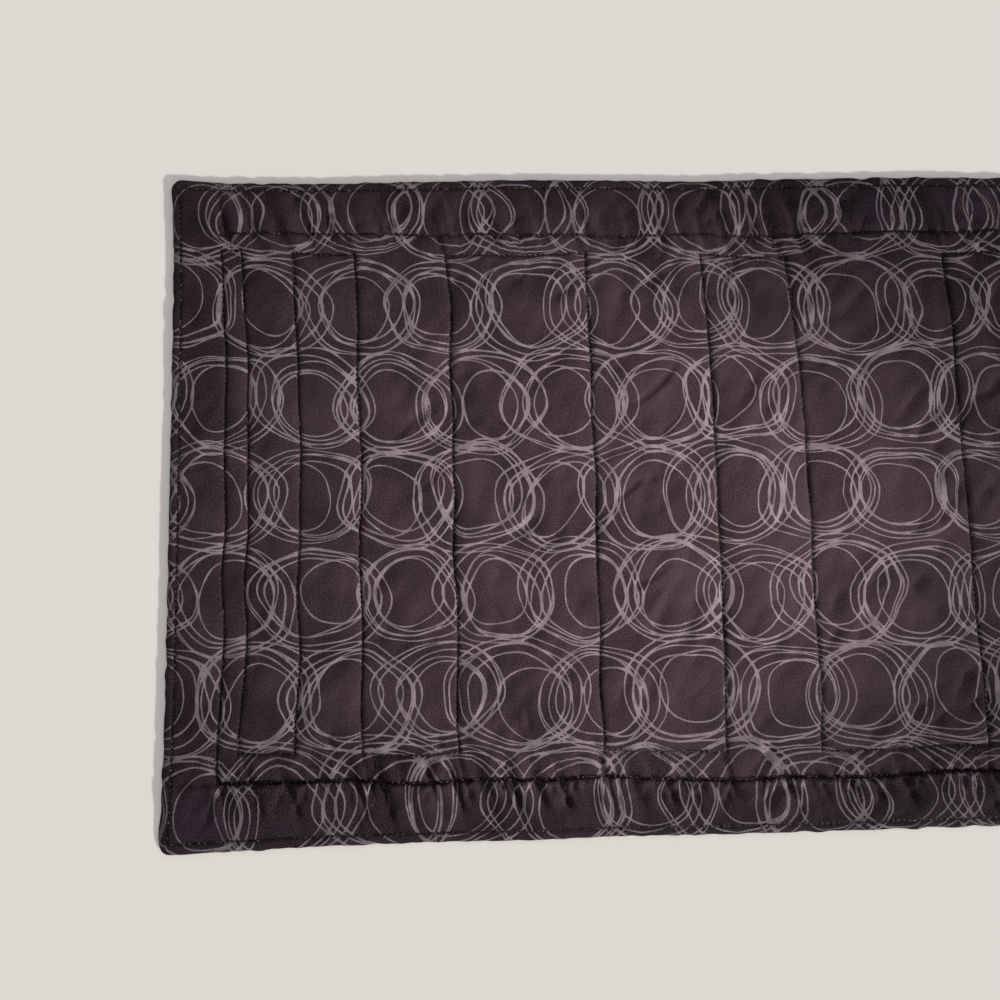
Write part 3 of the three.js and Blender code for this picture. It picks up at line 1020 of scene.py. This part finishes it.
def new_material(name):
    material = bpy.data.materials.new(name)
    material.use_nodes = True
    g = Graph(material.node_tree)
    g.tree.nodes.clear()
    shader = g.node("ShaderNodeBsdfPrincipled")
    g.node("ShaderNodeOutputMaterial", {"Surface": shader.outputs["BSDF"]})
    return material, g, shader


# Squared distance from a hole's middle at which it starts to close, and at which it has closed
HOLE = (0.04, 0.42)
# How far out a hole's dark pit of painted shade starts to fade and has faded, and how it narrows away from
# the hole
PIT = (0.66, 1.28)
PIT_NARROWING = 0.60


def needle_holes(g):
    """Where the needle went through: 1 at each hole. Gives the holes, a number for each, and how lit the
    cloth is: painted shade that darkens it gently towards a seam, lies in a dark pit at each hole, and is
    darkest in the hole itself."""
    distance = g.attribute("seam_distance")
    stitch = g.math("DIVIDE", g.attribute("along_seam"), STITCH)
    number = g.math("FLOOR", g.plus(stitch, 0.5))
    off = g.times(g.minus(stitch, number), STITCH)
    squares = g.plus(g.times(off, off), g.times(distance, distance))
    holes = g.ramp(squares, *HOLE, 1.0, 0.0)
    pit = g.plus(distance, g.times(g.math("ABSOLUTE", off), PIT_NARROWING))
    # The near border line's groove widens the pit of painted shade along it.
    pit = g.minus(pit, g.attribute("groove"))
    lit = g.times(g.ramp(pit, *PIT, SEAM_SHADE, 1.0), g.ramp(distance, 0.3, 3.4, SHADE_BESIDE_SEAM, 1.0))
    return holes, number, g.times(lit, g.minus(1.0, g.times(holes, 0.8)))


# Heights of the cloth's fine relief, in millimetres
BUMP = {"weave": 0.06, "crinkle": 0.34, "nap": 0.20, "hole": 0.28}
BUMP_STRENGTH = 0.8


def cloth_bump(g, place):
    """The cloth's fine relief: weave, crinkle, nap, fine puckers, and a dimple at each needle hole."""
    weave = g.times(add_weave(g, place), BUMP["weave"])
    crinkle = g.noise(g.vector("MULTIPLY", place, (1.0, 0.6, 1.0)), 0.32, 4.0, 0.6)
    holes = needle_holes(g)[0]
    height = g.plus(weave, g.times(crinkle, BUMP["crinkle"]))
    height = g.plus(height, g.times(g.noise(place, 1.5, 1.0, 0.6), BUMP["nap"]))
    # Fine puckers run away from the stitching, square to it.
    distance = g.attribute("seam_distance")
    along = g.times(g.attribute("along_seam"), 0.30)
    puckers = g.noise(g.combine(along, g.times(distance, 0.07), 0.0), 1.0, 1.0)
    puckers = g.math("ABSOLUTE", g.minus(puckers, 0.5))
    puckers = g.times(puckers, g.ramp(distance, 0.5, 6.0, 1.2, 0.0))
    height = g.plus(height, puckers)
    height = g.minus(height, g.times(holes, BUMP["hole"]))
    inputs = {"Strength": BUMP_STRENGTH, "Distance": MM, "Height": height}
    return g.node("ShaderNodeBump", inputs).outputs["Normal"]


CLOTH_DARK = (0.0048, 0.0027, 0.0046, 1)
CLOTH_LIGHT = (0.0335, 0.0194, 0.0296, 1)
# Painted shade along the seams: its dark colour, the least share of the cloth's colour left in a hole's
# pit, and the share that the gentler shade leaves right beside a seam
SEAM_SHADE_COLOUR = (0.0010, 0.0006, 0.0009, 1)
SEAM_SHADE = 0.02
SHADE_BESIDE_SEAM = 0.74
INK = (0.185, 0.151, 0.172, 1)
INK_THIN = (0.133, 0.108, 0.124, 1)
LINT = (0.42, 0.38, 0.38, 1)
NAP_ROUGHNESS = 0.86
PIT_ROUGHNESS = 0.35


def finish_cotton(g, shader, place, colour, roughness):
    """What both cottons share: hardly any gloss, a faint sheen and the fine relief."""
    sheen = {"Sheen Weight": 0.02, "Sheen Roughness": 0.45, "Sheen Tint": (0.90, 0.80, 0.84, 1)}
    g.feed_all(shader, {"Base Color": colour, "Roughness": roughness, "Specular IOR Level": 0.08, **sheen})
    g.feed(shader.inputs["Normal"], cloth_bump(g, place))


def printed_cotton():
    material, g, shader = new_material("printed_cotton")
    place = g.attribute("cloth_place", "Vector")
    broad = g.noise(place, 0.03, 1.0)
    fine = g.noise(place, 1.3, 2.0, 0.7)
    tone = g.plus(g.times(broad, 0.25), g.times(fine, 0.75))
    cloth = g.blend(g.ramp(tone, 0.42, 0.58), CLOTH_DARK, CLOTH_LIGHT)
    cover = g.noise(place, 0.12, 1.0, 0.6)
    ink = g.blend(g.ramp(cover, 0.32, 0.62), INK_THIN, INK)
    mask = add_print(g, place, fine)
    # The ink sinks between the yarns, so that it never covers quite evenly.
    mask = g.times(mask, g.ramp(g.noise(place, 1.9, 1.0, 0.7), 0.25, 0.65, 0.62, 1.0))
    colour = g.blend(mask, cloth, ink)
    holes, number, lit = needle_holes(g)
    # Painted shade: the cloth darkens towards each seam and into the pit round each needle hole.
    colour = g.blend(lit, SEAM_SHADE_COLOUR, colour)

    # Bits of pale lint, and wadding that shows at some needle holes
    speck = g.ramp(fine, 0.75, 0.83)
    key = g.plus(number, g.math("FLOOR", g.times(broad, 60.0)))
    showing, _ = g.across_and_up(g.chances(key))
    wadding = g.times(g.math("POWER", holes, 2.0), g.math("GREATER_THAN", showing, 0.82))
    pale = g.math("MAXIMUM", g.times(speck, 0.35), g.times(wadding, 0.22))
    colour = g.blend(pale, colour, LINT)

    # The nap is worn off in the pits, so they have no gloss from the side.
    nap = g.ramp(lit, 0.05, 0.75, PIT_ROUGHNESS, NAP_ROUGHNESS)
    roughness = g.minus(nap, g.times(mask, 0.10))
    finish_cotton(g, shader, place, colour, roughness)
    return material


def backing_cotton():
    material, g, shader = new_material("backing_cotton")
    place = g.attribute("cloth_place", "Vector")
    broad = g.noise(place, 0.05, 2.0)
    fine = g.noise(place, 1.1, 2.0, 0.6)
    tone = g.plus(g.times(broad, 0.15), g.times(fine, 0.85))
    colour = g.blend(g.ramp(tone, 0.38, 0.62), CLOTH_DARK, CLOTH_LIGHT)
    # Painted shade darkens the backing towards its seams.
    colour = g.blend(g.ramp(g.attribute("seam_distance"), 0.2, 2.6, 0.35, 1.0), SEAM_SHADE_COLOUR, colour)
    finish_cotton(g, shader, place, colour, 0.88)
    return material


THREAD_BLACK = (0.0018, 0.0013, 0.0018, 1)
# The thread's own colour is black, and these paler colours are a painted highlight on it.
THREAD_HIGHLIGHT = {"between": (0.060, 0.052, 0.057, 1), "ply": (0.170, 0.148, 0.160, 1)}
LEAST_THREAD_HIGHLIGHT = 0.03


def black_thread():
    material, g, shader = new_material("black_thread")
    place = g.attribute("thread_place", "Vector")
    along, angle = g.across_and_up(place)
    # Two plies that wind round each other
    wind = g.minus(g.times(along, 7.0), g.times(angle, 2.0))
    plies = g.math("ABSOLUTE", g.math("SINE", wind))
    colour = g.blend(plies, THREAD_HIGHLIGHT["between"], THREAD_HIGHLIGHT["ply"])
    # The middle of a stitch catches the light, and its ends are dark where they go down into the holes.
    middle = g.ramp(g.math("ABSOLUTE", g.minus(along, STITCH / 2)), 0.5, 1.25, 1.0, 0.0)
    # Each stitch's painted highlight is brighter or fainter, by a random share of its own.
    highlight = g.math("POWER", g.vector("DOT_PRODUCT", place, (0.0, 0.0, 1.0)), 3.0)
    share = g.plus(LEAST_THREAD_HIGHLIGHT, g.times(highlight, 1 - LEAST_THREAD_HIGHLIGHT))
    share = g.times(middle, share)
    colour = g.blend(share, THREAD_BLACK, colour)
    g.feed_all(shader, {"Base Color": colour, "Roughness": 0.55, "Specular IOR Level": 0.02})
    inputs = {"Strength": 0.6, "Distance": 0.1 * MM, "Height": plies}
    g.feed(shader.inputs["Normal"], g.node("ShaderNodeBump", inputs).outputs["Normal"])
    return material


# Stage, light and camera

FLOOR_COLOUR = (0.910, 0.868, 0.815, 1)
FLOOR_REACH = 15000.0


def floor():
    material, g, shader = new_material("pale_floor")
    g.feed_all(shader, {"Base Color": FLOOR_COLOUR, "Roughness": 1.0, "Specular IOR Level": 0.0})
    corners = FLOOR_REACH * np.array([(-1, -1, 0), (1, -1, 0), (1, 1, 0), (-1, 1, 0)])
    mesh_object("floor", corners, [(0, 1, 2, 3)], {}, material)


def add_light(name, kind, place, target, energy, colour, **settings):
    light = bpy.data.lights.new(name, kind)
    light.energy = energy
    light.color = colour
    for key, value in settings.items():
        setattr(light, key, value)
    lamp = add_object(name, light)
    lamp.location = place
    # The turn that points the lamp's -Z at its target
    x, y, z = np.subtract(target, place)
    lamp.rotation_euler = (math.atan2(math.hypot(x, y), -z), 0.0, math.atan2(-x, y))
    return lamp


POOLS = table("middle gloss", ((-0.310, -0.006, 0.0), 640.0), ((0.230, -0.006, 0.0), 240.0))
POOL_WAY = (0.970, -0.134, 0.720)
POOL_ANGLE = math.radians(18.2)
WARM = {"power": 94.0, "colour": (1.0, 0.96, 0.875)}
GLOSS_COLOUR = (1.0, 0.59, 0.56)
KEY = {"from": (0.5, -0.45, 0.19), "power": 3.7, "colour": (1.0, 0.965, 0.93), "angle": math.radians(3.0)}
ROOM = {"Color": (0.97, 0.985, 1.0, 1), "Strength": 0.50}


def lights(cloth):
    """A soft room, a low key light, and pools of light that fall only on the pieces of cloth and thread."""
    world = bpy.data.worlds.new("soft_room")
    world.use_nodes = True
    Graph(world.node_tree).feed_all(world.node_tree.nodes["Background"], ROOM)
    bpy.context.scene.world = world
    # A low key light from the near right, which gives the runner its narrow shadows
    add_light("key", "SUN", KEY["from"], (0, 0, 0), KEY["power"], KEY["colour"], angle=KEY["angle"])
    lit = bpy.data.collections.new("lit_by_the_pools")
    for piece in cloth:
        lit.objects.link(piece)
    # Two soft pools of light from the right: one over the part that the camera sees, and one over the rest.
    # Each has a warm lamp, and one that gives gloss alone, which lifts the dark cloth the most.
    for number, row in enumerate(POOLS):
        middle = row["middle"]
        place = np.add(middle, POOL_WAY)
        shape = {"spot_size": POOL_ANGLE, "spot_blend": 1.0, "shadow_soft_size": 0.05}
        lamps = {"warm_lamp": (WARM["power"], WARM["colour"]), "gloss_lamp": (row["gloss"], GLOSS_COLOUR)}
        for name, (power, colour) in lamps.items():
            lamp = add_light(f"{name}_{number}", "SPOT", place, middle, power, colour, **shape)
            lamp.visible_diffuse = name == "warm_lamp"
            # The pool is wider across the runner than along it, and leaves no bright spot on the floor.
            lamp.scale = (1.2, 1.0, 1.0)
            lamp.light_linking.receiver_collection = lit
    bpy.context.scene.view_settings.view_transform = "Standard"


# The camera looks down on the left half, from 429 mm above the cloth.
CAMERA_PLACE = (-0.358, -0.0412, 0.4318)
CAMERA_TURN = (5.3155, -1.5752, -1.1439)
LENS = 27.036


def camera():
    data = bpy.data.cameras.new("camera")
    data.lens = LENS
    data.clip_start = 0.01
    made = add_object("camera", data)
    made.location = CAMERA_PLACE
    made.rotation_euler = tuple(math.radians(angle) for angle in CAMERA_TURN)
    bpy.context.scene.camera = made


def main():
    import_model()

    printed, backing, thread = printed_cotton(), backing_cotton(), black_thread()
    runner = runner_mesh(printed, backing)
    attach(runner, "root")
    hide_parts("runner")

    threads = []
    for number, (name, runs) in enumerate(seams.items()):
        above = {"seed": 31 + number, "sections": 6, "sides": 6}
        below = {"seed": 41 + number, "sections": 4, "sides": 4, "under": True}
        threads.append(thread_mesh(name, runs, thread, **above))
        threads.append(thread_mesh(name + "_under", runs, thread, **below))
    for piece in threads:
        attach(piece, "root")

    floor()
    lights([runner, *threads])
    camera()


main()
